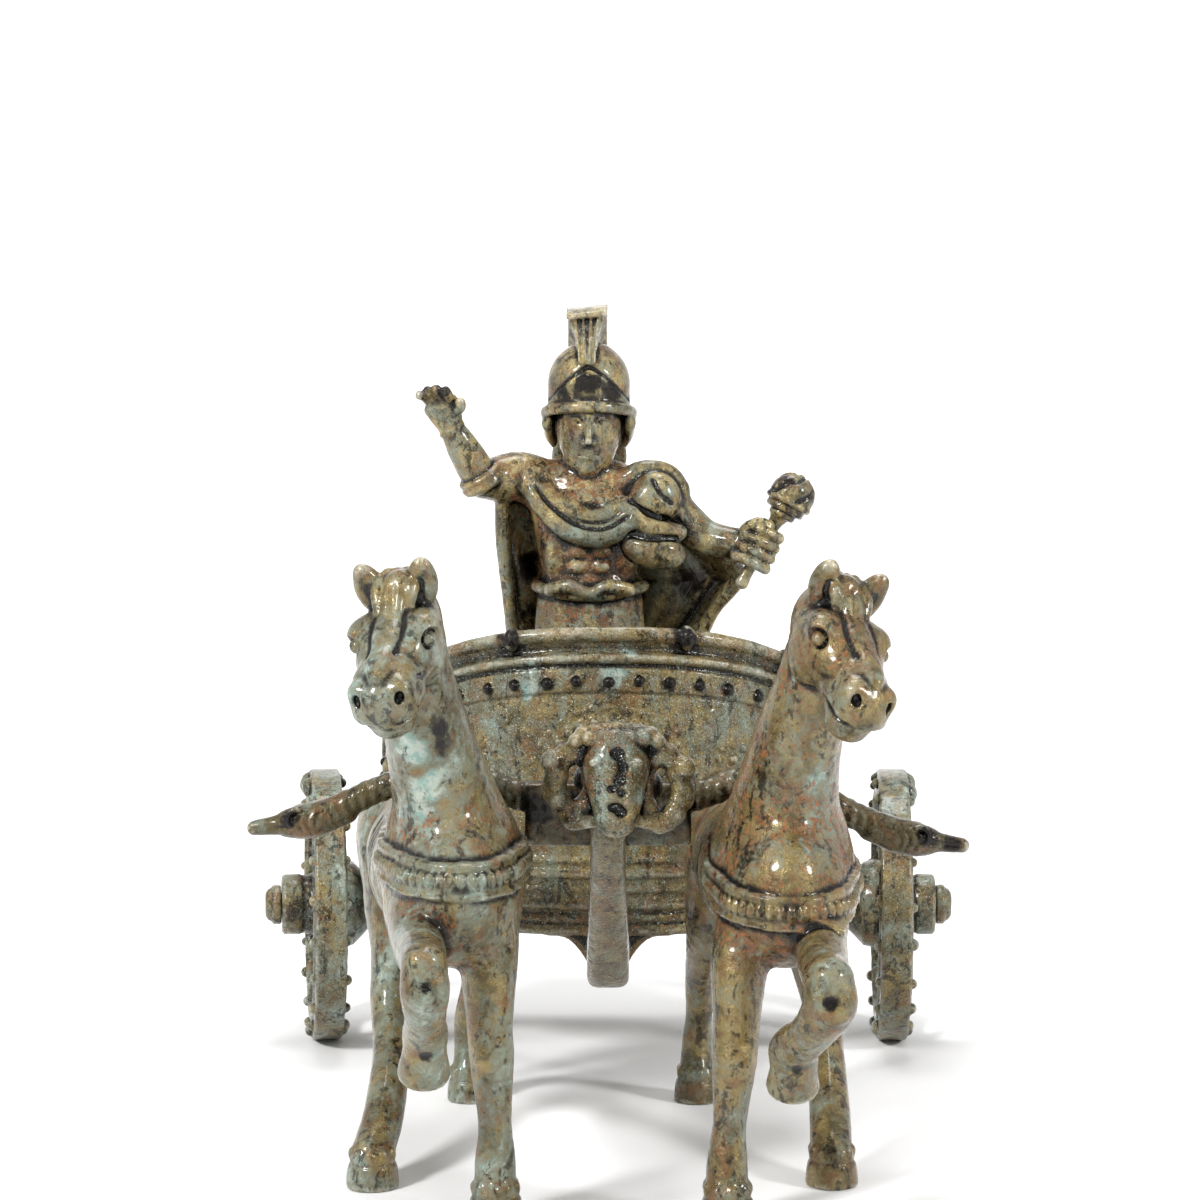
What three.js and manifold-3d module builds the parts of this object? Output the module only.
// Small cast bronze chariot with two horses and a helmeted driver.
// Millimetres, +Z up. The horses face -Y, and +X is the photograph's right.
import * as THREE from 'three';
import { mergeVertices } from 'three/addons/utils/BufferGeometryUtils.js';
import Module from 'manifold-3d';

const wasm = await Module();
wasm.setup();

// Driving dimensions
const WHEEL_RADIUS = 16.5;
const WHEEL_X = 34.8;
const TREAD = 3.6;
const PIN_RADIUS = 1.2;
const TOE_IN = { left: 0.159, right: 0.07 };
const GAP = 0.3;
const FIGURE_X = -2.2;
const FIGURE_Y = -5;
const YOKE_Y = -59.2;
const FRONT_END = -93.76;
const REAR_END = WHEEL_RADIUS;

// The sizes below count y from the axle. This shift puts the origin under the middle of the object.
const SHIFT_Y = -(FRONT_END + REAR_END) / 2;

const X_AXIS = new THREE.Vector3(1, 0, 0);
const Y_AXIS = new THREE.Vector3(0, 1, 0);
const QUARTER = Math.PI / 2;

// Turns a closed geometry into a solid, dropping the triangles that merging flattened.
function solid(geometry) {
  const bare = geometry.clone();
  bare.deleteAttribute('normal');
  bare.deleteAttribute('uv');
  const merged = mergeVertices(bare, 1e-4);
  const corners = merged.index.array;
  const points = merged.attributes.position;
  const kept = [];
  const [a, b, c] = [new THREE.Vector3(), new THREE.Vector3(), new THREE.Vector3()];
  let volume = 0;
  for (let i = 0; i < corners.length; i += 3) {
    const [p, q, r] = [corners[i], corners[i + 1], corners[i + 2]];
    if (p === q || q === r || r === p) continue;
    kept.push(p, q, r);
    a.fromBufferAttribute(points, p);
    b.fromBufferAttribute(points, q);
    c.fromBufferAttribute(points, r);
    volume += a.dot(b.cross(c));
  }
  if (volume < 0) kept.reverse();
  return new wasm.Manifold(new wasm.Mesh({
    numProp: 3,
    vertProperties: new Float32Array(points.array),
    triVerts: new Uint32Array(kept),
  }));
}

function join(solids) {
  return solids.reduce((whole, next) => whole.add(next));
}

// A limb: rings of stations [x, y, z, half width, half depth] along a path, with domed ends.
function limb(stations, { sides = 8, across = X_AXIS, dome = 0.4, turn = 0 } = {}) {
  const rows = stations.length - 1;
  const centres = stations.map(([x, y, z]) => new THREE.Vector3(x, y, z));
  const rings = stations.map(([, , , wide, deep], i) => {
    const before = centres[Math.max(i - 1, 0)];
    const after = centres[Math.min(i + 1, rows)];
    const along = after.clone().sub(before).normalize();
    const wideAxis = across.clone().addScaledVector(along, -across.dot(along)).normalize();
    const deepAxis = along.clone().cross(wideAxis);
    return { along, wideAxis, deepAxis, wide, deep };
  });
  const geometry = new THREE.CylinderGeometry(1, 1, 1, sides, rows, false);
  geometry.rotateY(turn);
  const points = geometry.attributes.position;
  const place = new THREE.Vector3();
  for (let i = 0; i < points.count; i += 1) {
    const row = Math.round((0.5 - points.getY(i)) * rows);
    const ring = rings[row];
    const [u, v] = [points.getX(i), points.getZ(i)];
    place.copy(centres[row]);
    place.addScaledVector(ring.wideAxis, u * ring.wide);
    place.addScaledVector(ring.deepAxis, v * ring.deep);
    if (Math.hypot(u, v) < 0.01) {
      const outward = row === 0 ? -1 : 1;
      place.addScaledVector(ring.along, outward * dome * Math.min(ring.wide, ring.deep));
    }
    points.setXYZ(i, place.x, place.y, place.z);
  }
  return solid(geometry);
}

// A thick sheet: place(s, t, side) gives a point, with s across, t downwards and side 0 or 1.
function sheet(columns, rows, place) {
  const geometry = new THREE.BoxGeometry(1, 1, 1, columns, 1, rows);
  const points = geometry.attributes.position;
  for (let i = 0; i < points.count; i += 1) {
    const at = place(points.getX(i) + 0.5, points.getZ(i) + 0.5, points.getY(i) > 0 ? 1 : 0);
    points.setXYZ(i, at.x, at.y, at.z);
  }
  return solid(geometry);
}

function ellipsoid(x, y, z, rx, ry, rz, around = 9, down = 6) {
  const geometry = new THREE.SphereGeometry(1, around, down);
  geometry.rotateX(QUARTER);
  geometry.scale(rx, ry, rz);
  geometry.translate(x, y, z);
  return solid(geometry);
}

function block(x, y, z, sizeX, sizeY, sizeZ) {
  return solid(new THREE.BoxGeometry(sizeX, sizeY, sizeZ).translate(x, y, z));
}

// A turned solid about the X axis, from [distance along X, radius] pairs.
function turned(profile, segments) {
  const points = profile.map(([along, radius]) => new THREE.Vector2(radius, along));
  return solid(new THREE.LatheGeometry(points, segments).rotateZ(-QUARTER));
}

// Chariot car
const CAR_HALF_WIDTH = 27.3;
const CAR_ARC_Y = 3.3;
const CAR_ARC_DEPTH = 23.3;
const CAR_REAR_Y = 14;
const CAR_BOTTOM = 16;
const FLOOR_TOP = 19.2;
const RIM_TOP = 51.3;
const RIM_DROP = 14.5;
const RIM_DROP_POWER = 2.35;
const REAR_DROP = 8;
const WALL = 1.1;
const ARC_SHARE = 0.8;
const FLOOR_INSET = 0.985;
// Where the wall is lower than this, the rim's mouldings draw closer together.
const FULL_WALL_HEIGHT = 24;

// The car's plan: an arc in front between two straight sides. s runs from rear left to rear right.
function carPlan(s) {
  const fromFront = (s - 0.5) * 2;
  const side = Math.sign(fromFront) || 1;
  const reach = Math.abs(fromFront) / ARC_SHARE;
  if (reach <= 1) {
    const turn = reach * QUARTER;
    return {
      x: side * CAR_HALF_WIDTH * Math.sin(turn),
      y: CAR_ARC_Y - CAR_ARC_DEPTH * Math.cos(turn),
      nx: side * Math.sin(turn) * CAR_ARC_DEPTH,
      ny: -Math.cos(turn) * CAR_HALF_WIDTH,
      top: RIM_TOP - RIM_DROP * reach ** RIM_DROP_POWER,
    };
  }
  const back = (Math.abs(fromFront) - ARC_SHARE) / (1 - ARC_SHARE);
  return {
    x: side * CAR_HALF_WIDTH,
    y: CAR_ARC_Y + (CAR_REAR_Y - CAR_ARC_Y) * back,
    nx: side,
    ny: 0,
    top: RIM_TOP - RIM_DROP - REAR_DROP * Math.sin(back * QUARTER),
  };
}

// The wall's profile, top to bottom: [drop below the rim, how far it stands out].
const UPPER_PROFILE = [
  [0, 0.1], [0.8, 0.8], [1.7, 0.1], [2.7, 0], [3.4, 0.6], [4.3, 0.1], [7.2, 0.25], [7.7, -0.15],
];
// Below the panel: [height, how far it stands out].
const BASE_PROFILE = [
  [24.6, -0.15], [23.5, 0.55], [21.9, 0.1], [20.2, 0.2], [19.2, 0.75], [17.8, 0.2], [CAR_BOTTOM, 0.1],
];

function carWall() {
  const columns = 20;
  const rows = UPPER_PROFILE.length + BASE_PROFILE.length - 1;
  return sheet(columns, rows, (s, t, side) => {
    const plan = carPlan(s);
    const row = Math.round(t * rows);
    const upper = row < UPPER_PROFILE.length;
    const [level, out] = upper ? UPPER_PROFILE[row] : BASE_PROFILE[row - UPPER_PROFILE.length];
    const z = upper ? plan.top - level * Math.min(1, (plan.top - CAR_BOTTOM) / FULL_WALL_HEIGHT) : level;
    const length = Math.hypot(plan.nx, plan.ny);
    const offset = side === 1 ? out : -WALL;
    return new THREE.Vector3(
      plan.x + (plan.nx / length) * offset,
      plan.y + (plan.ny / length) * offset,
      z,
    );
  });
}

function carFloor() {
  const steps = 20;
  const outline = new THREE.Shape();
  for (let i = 0; i <= steps; i += 1) {
    const plan = carPlan(i / steps);
    outline[i === 0 ? 'moveTo' : 'lineTo'](plan.x * FLOOR_INSET, plan.y);
  }
  outline.closePath();
  const depth = FLOOR_TOP - CAR_BOTTOM;
  const plate = new THREE.ExtrudeGeometry(outline, { depth, bevelEnabled: false });
  return solid(plate.translate(0, 0, CAR_BOTTOM));
}

// The axle bar under the floor, with a boss at each end for the wheel's pin.
const AXLE_BAR_HALF = 28.2;
const AXLE_BAR_WIDTH = 5.2;
const AXLE_BAR_DROP = 2.2;

function axleBar() {
  const height = FLOOR_TOP - CAR_BOTTOM + AXLE_BAR_DROP;
  return block(0, 0, FLOOR_TOP - height / 2, 2 * AXLE_BAR_HALF, AXLE_BAR_WIDTH, height);
}

// The pole comes forward under the car, turns up and tapers to the ram's neck.
function pole(clearance = 0) {
  const width = 2.35;
  const stations = [
    [0, 3, 15.9, width, 1.6],
    [0, -22, 15.2, width, 1.9],
    [0, -31, 14.9, width, 2.0],
    [0, -36.5, 15.4, width, 2.1],
    [0, -43, 18.2, 2.3, 2.0],
    [0, -52, 24.0, 2.0, 1.9],
    [0, -60, 29.6, 1.8, 1.8],
    [0, -65.5, 34.2, 1.8, 2.0],
    [0.3, -68.8, 38.2, 2.4, 2.6],
  ];
  const grown = stations.map(([x, y, z, wide, deep]) => [x, y, z, wide + clearance, deep + clearance]);
  return limb(grown, { sides: 8, turn: Math.PI / 8 });
}

// Curved webs that run from the car's lower edge down to the pole.
const GUSSET_Y = -17.2;

function poleGusset(side) {
  const reach = 6.2;
  const drop = 3.2;
  const outline = new THREE.Shape();
  outline.moveTo(0, 0.6);
  outline.lineTo(reach, 0.6);
  outline.lineTo(reach, 0);
  outline.quadraticCurveTo(reach * 0.45, -0.3, 2.2, -drop);
  outline.lineTo(0, -drop);
  outline.closePath();
  const web = new THREE.ExtrudeGeometry(outline, { depth: 1.6, bevelEnabled: false, curveSegments: 4 });
  web.rotateX(QUARTER);
  if (side < 0) web.scale(-1, 1, 1);
  return solid(web.translate(0, GUSSET_Y, CAR_BOTTOM));
}

// The ram's head at the end of the pole
const RAM = { x: 0.6, y: -70, z: 39.6 };
const HORN_STRETCH = 1.25;

function ramHorn(side) {
  const curl = new THREE.TorusGeometry(3.1, 1.15, 5, 10);
  curl.scale(1, HORN_STRETCH, 1);
  curl.rotateX(QUARTER);
  curl.rotateZ(side * 0.5);
  return solid(curl.translate(RAM.x + side * 4.2, RAM.y, RAM.z - 0.6));
}

function ramHead() {
  const face = limb([
    [RAM.x, RAM.y + 1.5, RAM.z + 3.2, 3.6, 2.6],
    [RAM.x, RAM.y - 1.2, RAM.z + 2.2, 3.8, 3.0],
    [RAM.x, RAM.y - 3.4, RAM.z - 0.8, 2.5, 2.2],
    [RAM.x + 0.3, RAM.y - 4.4, RAM.z - 4.0, 1.7, 1.3],
  ], { dome: 0.6 });
  return join([face, ramHorn(-1), ramHorn(1)]);
}

function chariotCar() {
  const body = join([carWall(), carFloor(), axleBar(), pole(), poleGusset(-1), poleGusset(1), ramHead()]);
  const holes = [-1, 1].map((side) => onWheelAxis(side, turned([
    [-PIN_DEPTH - GAP, 0], [-PIN_DEPTH - GAP, PIN_RADIUS + GAP], [0, PIN_RADIUS + GAP], [0, 0],
  ], 8)));
  return body.subtract(join(holes));
}

// Wheels and their pins. Distances run outwards along each wheel's own axis, from its middle plane.
const SPOKES = 8;
const RIM_DEPTH = 3;
const NAVE_RADIUS = 3.65;
const NAVE_OUT = 5.3;
const NAVE_IN = -6;
const CAP_RADIUS = 2.4;
const CAP_LENGTH = 1.9;
const PIN_DEPTH = 14;

// Turns a solid made on the X axis into one wheel's axis. The wheels toe in, as their loose pins let them.
function onWheelAxis(side, made) {
  const angle = THREE.MathUtils.radToDeg(side > 0 ? TOE_IN.right : TOE_IN.left);
  const turnedIn = made.rotate([0, 0, -angle]);
  const facing = side > 0 ? turnedIn : turnedIn.mirror([1, 0, 0]);
  return facing.translate([side * WHEEL_X, 0, WHEEL_RADIUS]);
}

function wheel(side) {
  const half = TREAD / 2;
  const inner = WHEEL_RADIUS - RIM_DEPTH;
  const rim = turned([
    [-half, inner], [-half, WHEEL_RADIUS - 0.2], [-half + 0.2, WHEEL_RADIUS],
    [half - 0.2, WHEEL_RADIUS], [half, WHEEL_RADIUS - 0.2], [half, inner], [-half, inner],
  ], 24);
  const nave = turned([
    [NAVE_IN, 0], [NAVE_IN, 3.0], [-3.4, 5.2], [-1, 5.4],
    [1.8, NAVE_RADIUS], [NAVE_OUT, NAVE_RADIUS], [NAVE_OUT, 0],
  ], 14);
  const spokes = [];
  for (let i = 0; i < SPOKES; i += 1) {
    const bar = new THREE.CylinderGeometry(0.95, 1.15, inner + 0.5, 5);
    bar.translate(0, (inner + 0.5) / 2, 0);
    bar.rotateX((i + 0.5) * 2 * Math.PI / SPOKES);
    spokes.push(solid(bar));
  }
  const boreRadius = PIN_RADIUS + GAP;
  const bore = turned([[-9, 0], [-9, boreRadius], [9, boreRadius], [9, 0]], 10);
  return onWheelAxis(side, join([rim, nave, ...spokes]).subtract(bore));
}

// A round-headed pin runs through each wheel's nave into the car's axle bar.
function wheelPin(side) {
  const head = NAVE_OUT + GAP;
  const tip = head + CAP_LENGTH;
  return onWheelAxis(side, turned([
    [-PIN_DEPTH, 0], [-PIN_DEPTH, PIN_RADIUS], [head, PIN_RADIUS], [head, CAP_RADIUS],
    [head + CAP_LENGTH * 0.6, CAP_RADIUS * 0.9], [tip, CAP_RADIUS * 0.5], [tip, 0],
  ], 10));
}

// The yoke lies on the pole and over the horses' withers, and ends in two birds' heads.
function yokeHalf(side, tipZ) {
  const y = YOKE_Y;
  const arm = limb([
    [-side * 0.5, y, 36.6, 1.6, 1.4],
    [side * 6, y, 36.4, 1.5, 1.4],
    [side * 10, y, 37.2, 1.5, 1.4],
    [side * 14.5, y, 38.9, 1.4, 1.3],
    [side * 19, y, 38.5, 1.3, 1.3],
    [side * 23, y, tipZ + 3.4, 1.3, 1.4],
    [side * 27, y, tipZ + 1.4, 1.4, 1.5],
  ], { across: Y_AXIS, sides: 8 });
  const head = limb([
    [side * 26, y, tipZ + 1.6, 1.4, 1.5],
    [side * 29.2, y, tipZ + 0.5, 1.8, 1.7],
    [side * 31.2, y, tipZ + 0.2, 1.5, 1.5],
    [side * 32.6, y, tipZ, 0.9, 0.8],
    [side * 35, y, tipZ - 0.3, 0.7, 0.6],
  ], { across: Y_AXIS, sides: 8, dome: 0.2 });
  return join([arm, head]);
}

function yoke() {
  const beam = block(0, YOKE_Y, 35.1, 16.4, 3.4, 6.2);
  return join([beam, yokeHalf(-1, 33.9), yokeHalf(1, 32.2)]).subtract(pole(GAP));
}

// Horses. Their own x runs outwards, away from the pole, and is mirrored for the left one.
const RIGHT_HORSE = {
  side: 1,
  centre: 15.8,
  yaw: 0,
  innerFore: { x: -4.9, y: -79.3 },
  outerHind: { x: 5.8, y: -66.2 },
  innerHind: { x: -6, y: -32.4 },
  knee: { x: 3.3, y: -91.4, z: 25 },
  raised: { x: 0.8, y: -83.6, z: 14 },
  poll: { x: 4.3, y: -79, z: 54.6 },
  muzzle: { x: 6.8, y: -87.8, z: 48 },
  chestX: 0.7,
  hindLean: 0.3,
  strap: { z: 30.3, tilt: 0.14 },
};
const LEFT_HORSE = {
  side: -1,
  centre: 14.3,
  yaw: 0.12,
  innerFore: { x: -3.9, y: -79.3 },
  outerHind: { x: 7, y: -66.2 },
  innerHind: { x: -4.6, y: -32.4 },
  knee: { x: 3.1, y: -91.6, z: 26.4 },
  raised: { x: 2.8, y: -84.4, z: 15.4 },
  poll: { x: 4.2, y: -79, z: 55 },
  muzzle: { x: 6.6, y: -87.6, z: 48.6 },
  chestX: -0.6,
  hindLean: -2.2,
  strap: { z: 32.4, tilt: 0.07 },
};
const HOOF_RADIUS = 2.5;
const HOOF_HEIGHT = 3.2;
const LEG_SIDES = 6;
// The point that each horse is turned about, between its forelegs.
const YAW_ABOUT_Y = -78;

function horseTorso({ chestX }) {
  return limb([
    [0, -34.6, 31.6, 2.6, 3.6],
    [0, -37, 31.4, 5.2, 6.2],
    [0, -42.5, 30.8, 7.2, 7.3],
    [0, -50, 29.8, 7.1, 6.8],
    [0, -58, 29.5, 7.1, 7.0],
    [chestX * 0.5, -65, 30.2, 7.0, 8.0],
    [chestX, -73, 30.2, 6.6, 8.0],
    [chestX, -77.5, 29.8, 5.2, 6.0],
    [chestX, -79.8, 29.5, 2.6, 3.0],
  ], { sides: 10 });
}

function horseNeck({ poll, chestX }) {
  return limb([
    [chestX, -69.5, 33.5, 6.1, 8.4],
    [0.6 + chestX * 0.5, -71.6, 38.2, 5.1, 6.9],
    [poll.x * 0.35, -73.8, 43, 4.5, 5.4],
    [poll.x * 0.65, -76, 48, 3.8, 4.6],
    [poll.x * 0.88, -77.4, 52.6, 3.2, 4.0],
    [poll.x, -78.2, 56, 2.7, 3.0],
  ], { sides: 8 });
}

function horseHead({ poll, muzzle }) {
  const at = (share, dz = 0) => [
    poll.x + (muzzle.x - poll.x) * share,
    poll.y + (muzzle.y - poll.y) * share,
    poll.z + (muzzle.z - poll.z) * share + dz,
  ];
  const skull = limb([
    [...at(-0.12), 2.6, 2.6],
    [...at(0.12), 3.7, 3.6],
    [...at(0.38), 4.0, 3.5],
    [...at(0.65, -0.2), 3.0, 3.0],
    [...at(0.85, -0.2), 3.2, 3.3],
    [...at(1.0, -0.3), 2.9, 2.9],
  ], { sides: 8 });
  const ears = [-1, 1].map((side) => limb([
    [poll.x + side * 2.1, poll.y + 0.4, poll.z + 1.6, 1.1, 0.9],
    [poll.x + side * 2.4, poll.y, poll.z + 3.2, 1.3, 0.9],
    [poll.x + side * 2.5, poll.y - 0.2, poll.z + 4.7, 0.5, 0.4],
  ], { sides: 5 }));
  return join([skull, ...ears]);
}

// The mane stands as a ridge along the crest of the neck.
function horseMane({ poll }) {
  return limb([
    [0, -63.4, 39.6, 0.9, 1.2],
    [poll.x * 0.3, -67.2, 44.6, 1.2, 1.8],
    [poll.x * 0.6, -70.6, 50, 1.3, 1.9],
    [poll.x * 0.85, -73.6, 55, 1.3, 1.8],
    [poll.x, -77, 58.6, 1.2, 1.5],
  ], { sides: 5 });
}

function horseTail() {
  return limb([
    [0, -35.5, 35.2, 1.5, 1.5],
    [0, -32.2, 34.6, 1.7, 1.6],
    [0, -29.6, 30, 2.0, 1.6],
    [0, -29.2, 23, 2.1, 1.6],
    [0, -30, 16.5, 1.5, 1.2],
    [0.3, -30.6, 12.5, 0.5, 0.5],
  ], { sides: 6 });
}

function hoof({ x, y }) {
  const shape = new THREE.CylinderGeometry(HOOF_RADIUS * 0.82, HOOF_RADIUS, HOOF_HEIGHT, 8);
  shape.rotateX(QUARTER);
  return solid(shape.translate(x, y, HOOF_HEIGHT / 2));
}

function standingForeleg({ innerFore: foot, chestX }) {
  const leg = limb([
    [chestX - 3.2, -72.5, 28, 2.8, 4.2],
    [-3.7, -75.5, 23.5, 2.7, 3.4],
    [foot.x + 0.4, -77.2, 18, 2.0, 2.3],
    [foot.x + 0.2, -77.6, 14.4, 1.9, 2.0],
    [foot.x, -78.2, 9, 1.6, 1.6],
    [foot.x, -78.6, 5.4, 1.8, 1.8],
    [foot.x, foot.y, 2.6, 1.9, 2.0],
  ], { sides: LEG_SIDES });
  return join([leg, hoof(foot)]);
}

function raisedForeleg({ knee, raised, chestX }) {
  const hipX = 3.4 + chestX * 0.5;
  const upper = limb([
    [hipX, -72.5, 27.4, 2.8, 4.2],
    [(knee.x + hipX) / 2, -79.5, 25.6, 2.4, 2.8],
    [knee.x, -86, knee.z - 0.6, 2.2, 2.2],
    [knee.x, knee.y, knee.z, 2.0, 2.0],
  ], { sides: LEG_SIDES, dome: 0.2 });
  const lower = limb([
    [knee.x, knee.y + 0.4, knee.z + 0.6, 2.0, 2.0],
    [knee.x, knee.y, knee.z - 2.6, 2.3, 2.2],
    [(knee.x + raised.x) / 2, (knee.y + raised.y) / 2 - 1, (knee.z + raised.z) / 2, 2.0, 1.8],
    [raised.x, raised.y - 1.2, raised.z + 3.4, 2.2, 1.9],
    [raised.x, raised.y, raised.z + 1.6, 2.2, 1.9],
    [raised.x, raised.y + 1.4, raised.z - 0.2, 2.5, 2.4],
  ], { sides: LEG_SIDES, dome: 0.1 });
  return join([upper, lower]);
}

function forwardHindLeg({ outerHind: foot, hindLean: lean }) {
  const leg = limb([
    [3.6, -41.5, 30.5, 3.4, 5.6],
    [4.5 + lean * 0.2, -45.5, 25, 3.3, 5.0],
    [5.0 + lean * 0.4, -48.5, 20, 2.6, 3.6],
    [foot.x + lean, -51, 14.6, 2.0, 2.5],
    [foot.x + lean, -55.5, 10.6, 1.8, 1.8],
    [foot.x + lean * 0.55, -62.2, 6, 2.0, 1.9],
    [foot.x, foot.y + 0.6, 3, 2.0, 2.0],
  ], { sides: LEG_SIDES });
  return join([leg, hoof(foot)]);
}

function backwardHindLeg({ innerHind: foot }) {
  const leg = limb([
    [-3.6, -41.5, 30.5, 3.4, 5.6],
    [-4.4, -43, 24.5, 3.3, 5.0],
    [-4.9, -40.5, 19.5, 2.6, 3.4],
    [-5.5, -34.8, 14.2, 1.9, 2.3],
    [foot.x + 0.2, -32.2, 9.4, 1.45, 1.6],
    [foot.x, -31.6, 5.6, 1.6, 1.6],
    [foot.x, foot.y, 2.8, 1.8, 1.9],
  ], { sides: LEG_SIDES });
  return join([leg, hoof(foot)]);
}

// The breast strap, a flat band round the shoulders that sags in front.
function breastStrap({ strap, chestX }) {
  const middleY = -70.3;
  const [halfWidth, halfLength, height] = [7.3, 10.4, 3.6];
  const band = new THREE.CylinderGeometry(1, 1, height, 16);
  band.rotateX(QUARTER);
  band.scale(halfWidth, halfLength, 1);
  return solid(band.rotateX(strap.tilt).translate(chestX, middleY, strap.z));
}

function horse(pose) {
  const whole = join([
    horseTorso(pose), horseNeck(pose), horseHead(pose), horseMane(pose), horseTail(), breastStrap(pose),
    standingForeleg(pose), raisedForeleg(pose), forwardHindLeg(pose), backwardHindLeg(pose),
  ]);
  const degrees = THREE.MathUtils.radToDeg(pose.yaw);
  const yawed = whole.translate([0, -YAW_ABOUT_Y, 0]).rotate([0, 0, -degrees]).translate([0, YAW_ABOUT_Y, 0]);
  const sided = pose.side > 0 ? yawed : yawed.mirror([1, 0, 0]);
  return sided.translate([pose.side * pose.centre, 0, 0]);
}

// Driver
const FEET_Z = FLOOR_TOP + GAP;

function driverBody() {
  const [x, y] = [FIGURE_X, FIGURE_Y];
  const torso = limb([
    [x, y, 53.5, 6.0, 4.4],
    [x, y, 55.6, 6.6, 4.8],
    [x, y, 57.2, 5.7, 4.2],
    [x - 0.2, y - 0.2, 62.5, 6.3, 4.6],
    [x - 0.3, y, 67.0, 7.6, 4.4],
    [x - 0.1, y, 69.8, 4.6, 3.2],
  ], { across: X_AXIS, sides: 10 });
  const skirt = limb([
    [x, y, 40.5, 7.4, 5.6],
    [x, y, 48, 6.4, 4.8],
    [x, y, 55, 5.6, 4.2],
  ], { sides: 10, dome: 0 });
  const legs = [-1, 1].flatMap((side) => [
    limb([
      [x + side * 3, y, FEET_Z + 1, 1.6, 1.9],
      [x + side * 3, y, FEET_Z + 5, 1.6, 1.8],
      [x + side * 3, y + 0.3, FEET_Z + 11, 2.2, 2.4],
      [x + side * 2.8, y, FEET_Z + 16, 2.1, 2.3],
      [x + side * 2.8, y, FEET_Z + 22, 2.7, 3.0],
    ], { sides: 6 }),
    block(x + side * 3.1, y - 1.8, FEET_Z + 0.9, 3, 6.4, 1.8),
  ]);
  return join([torso, skirt, ...legs]);
}

function driverHead() {
  const [x, y] = [FIGURE_X, FIGURE_Y];
  const face = ellipsoid(x, y - 0.6, 73.3, 3.4, 4.0, 4.8);
  const neck = limb([[x, y + 0.2, 66.5, 2.7, 2.6], [x, y, 72, 2.4, 2.5]], { sides: 7 });
  const brow = limb([
    [x - 0.2, y + 0.4, 76.2, 5.2, 5.9],
    [x - 0.2, y + 0.2, 77.8, 5.1, 5.6],
    [x - 0.2, y + 0.2, 80.2, 4.6, 5.0],
    [x - 0.2, y + 0.2, 82.6, 3.3, 3.6],
    [x - 0.2, y + 0.2, 83.8, 1.6, 1.8],
  ], { sides: 10, dome: 0.1 });
  const guard = limb([
    [x - 0.1, y + 1.6, 71.2, 5.5, 4.4],
    [x - 0.1, y + 1.3, 73.6, 5.2, 3.9],
    [x - 0.1, y + 1.0, 77, 4.9, 4.2],
  ], { sides: 8, dome: 0.1 });
  return join([face, neck, brow, guard]);
}

// The crest is a bent brush from the brow over the helmet to the nape, thicker at its outer edge.
function crest() {
  const centre = { y: FIGURE_Y + 0.2, z: 78.4 };
  const [innerRadius, outerRadius] = [4.4, 11];
  const [frontAngle, backAngle] = [0.42, -1.9];
  return sheet(7, 1, (s, t, side) => {
    const angle = frontAngle + (backAngle - frontAngle) * s;
    const fade = 1 - 0.4 * Math.max(0, s - 0.25);
    const radius = t < 0.5 ? innerRadius : innerRadius + (outerRadius - innerRadius) * fade;
    const half = t < 0.5 ? 1.3 : 2.5;
    return new THREE.Vector3(
      FIGURE_X - 0.2 + (side === 1 ? half : -half),
      centre.y - radius * Math.sin(angle),
      centre.z + radius * Math.cos(angle),
    );
  });
}

function raisedArm() {
  const sleeve = limb([
    [-9, FIGURE_Y, 69.4, 3.0, 3.2],
    [-12.4, -6.4, 69.2, 2.9, 2.9],
    [-15.0, -8.2, 68.2, 2.6, 2.6],
  ], { across: Y_AXIS, sides: 7 });
  const forearm = limb([
    [-13.6, -7.8, 67.6, 1.8, 1.8],
    [-15.9, -9.2, 70.4, 1.8, 1.8],
    [-17.9, -10.4, 74.6, 1.3, 1.3],
    [-19.0, -11.0, 76.6, 1.9, 1.3],
    [-19.9, -11.6, 78.6, 1.7, 0.8],
  ], { across: X_AXIS, sides: 7 });
  return join([sleeve, forearm]);
}

function loweredArm() {
  return limb([
    [3.2, FIGURE_Y, 67.4, 2.8, 3.2],
    [6.2, -5.4, 66.6, 2.7, 3.0],
    [11.2, -6.4, 62.0, 2.3, 2.4],
    [15.0, -8, 61, 1.9, 1.9],
    [17.0, -8.8, 60.4, 2.6, 2.9],
    [19.2, -9.2, 60.6, 2.0, 2.4],
  ], { across: Y_AXIS, sides: 7 });
}

// The short sceptre leans outwards from the hand and carries a bud.
function sceptre() {
  const y = -8.8;
  const shaft = limb([
    [16.2, y, 56.4, 0.7, 0.7],
    [19.4, y, 62.6, 0.8, 0.8],
    [20.6, y, 64.4, 1.5, 1.5],
  ], { across: Y_AXIS, sides: 6 });
  return join([shaft, ellipsoid(21.8, y, 66.5, 3, 3, 3)]);
}

// The cloak's two edges, seen from the front: [height, x of the left edge, x of the right edge].
const CLOAK_EDGES = [
  [70.2, -11.4, 5.6],
  [65.5, -13.6, 8.2],
  [60.5, -13.3, 13.2],
  [56.2, -12.2, 16.4],
  [50.5, -11.5, 11.4],
  [24, -9.6, 8.4],
];

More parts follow.
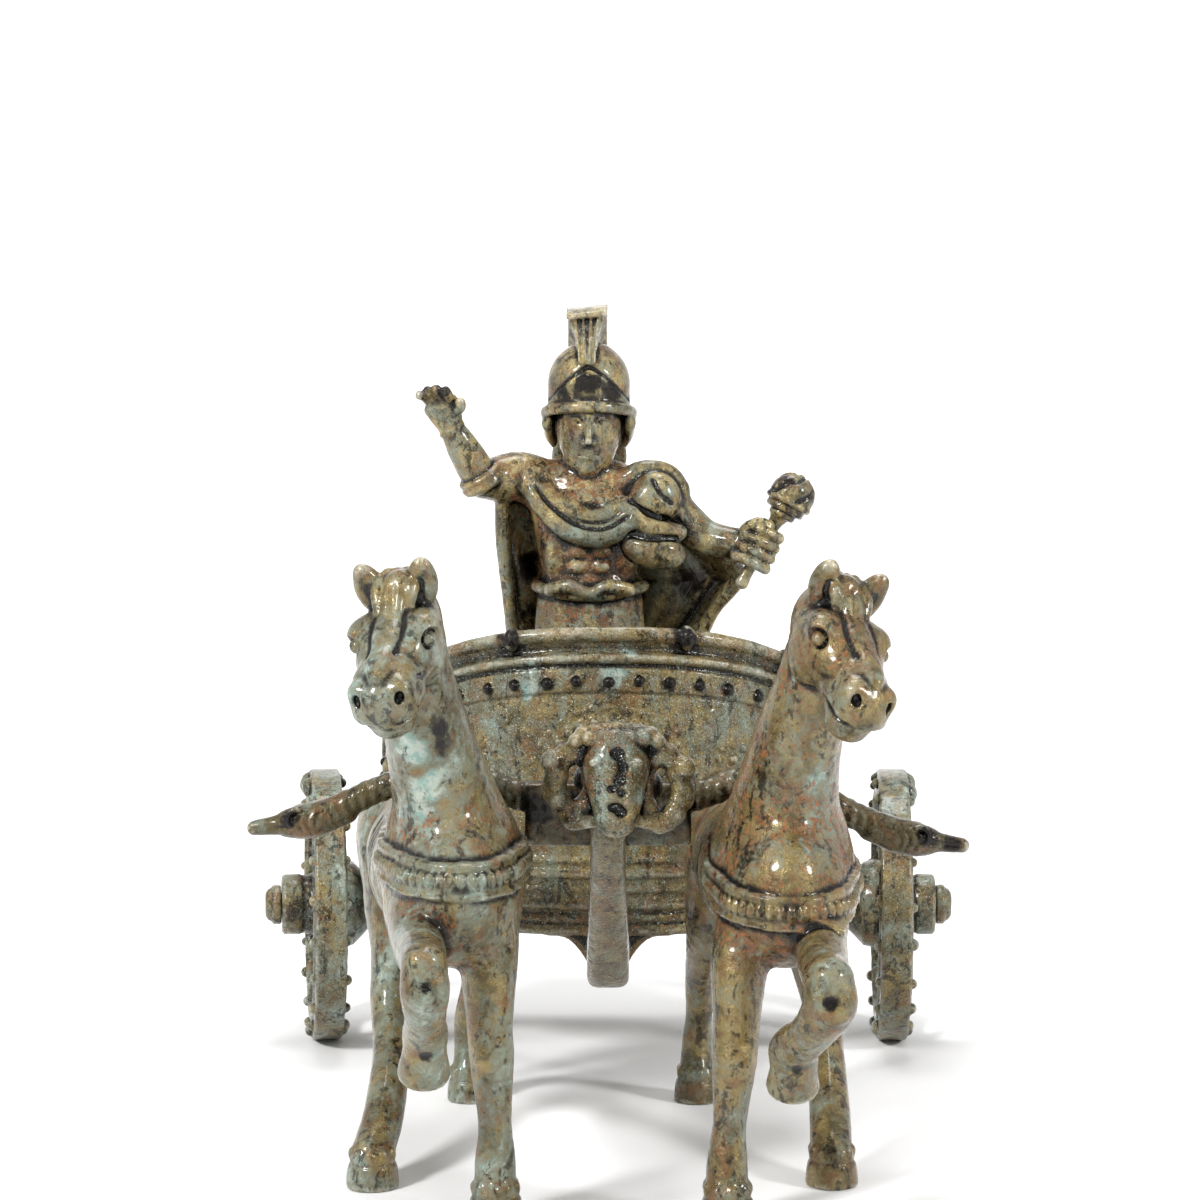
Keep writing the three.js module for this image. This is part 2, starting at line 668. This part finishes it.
// The cloak hangs behind the driver from both shoulders to the car's floor.
function cloak() {
  const thickness = 1.3;
  const folds = 4;
  const rows = CLOAK_EDGES.length - 1;
  return sheet(10, rows, (s, t, side) => {
    const [z, left, right] = CLOAK_EDGES[Math.round(t * rows)];
    const across = (s - 0.5) * 2;
    const fold = 0.6 * Math.sin(s * folds * 2 * Math.PI) * Math.min(1, t * 2);
    const y = -2.4 + 6 * Math.sin(t * QUARTER) - 2.6 * across ** 2 + fold;
    return new THREE.Vector3(left + (right - left) * s, y + (side === 1 ? thickness : 0), z);
  });
}

// The roll of the cloak across the chest, and the bunch of folds below the shoulder.
function cloakRoll() {
  const roll = limb([
    [-9.6, -7.6, 69.4, 1.5, 1.4],
    [-7.4, -9.0, 65.8, 1.4, 1.3],
    [-3.9, -9.8, 62.6, 1.4, 1.3],
    [-0.2, -9.7, 62.4, 1.4, 1.3],
    [2.8, -9.0, 65.4, 1.5, 1.3],
    [6.0, -6.6, 69.4, 1.9, 1.6],
  ], { across: Y_AXIS, sides: 6 });
  return join([roll, ellipsoid(5.4, -8.4, 63.4, 3.8, 3.0, 6.1)]);
}

function driver() {
  return join([
    driverBody(), driverHead(), crest(), raisedArm(), loweredArm(), sceptre(), cloak(), cloakRoll(),
  ]);
}

// Builds one named mesh from a solid.
function mesh(name, whole, color, roughness) {
  const { vertProperties, triVerts } = whole.getMesh();
  const geometry = new THREE.BufferGeometry();
  geometry.setAttribute('position', new THREE.BufferAttribute(new Float32Array(vertProperties), 3));
  geometry.setIndex(Array.from(triVerts));
  const made = new THREE.Mesh(geometry, new THREE.MeshStandardMaterial({ color, roughness, metalness: 0.7 }));
  geometry.computeVertexNormals();
  made.name = name;
  made.position.y = SHIFT_Y;
  return made;
}

const chariot = new THREE.Group();
chariot.add(mesh('chariot_car_and_pole', chariotCar(), 0x6b6342, 0.6));
chariot.add(mesh('driver', driver(), 0x655b3f, 0.55));
chariot.add(mesh('yoke', yoke(), 0x39301f, 0.45));
chariot.add(mesh('horse_left', horse(LEFT_HORSE), 0x76785a, 0.45));
chariot.add(mesh('horse_right', horse(RIGHT_HORSE), 0x786b4e, 0.45));
chariot.add(mesh('wheel_left', wheel(-1), 0x64725f, 0.6));
chariot.add(mesh('wheel_right', wheel(1), 0x64725f, 0.6));
chariot.add(mesh('wheel_pin_left', wheelPin(-1), 0x5a6150, 0.5));
chariot.add(mesh('wheel_pin_right', wheelPin(1), 0x5a6150, 0.5));

export default chariot;
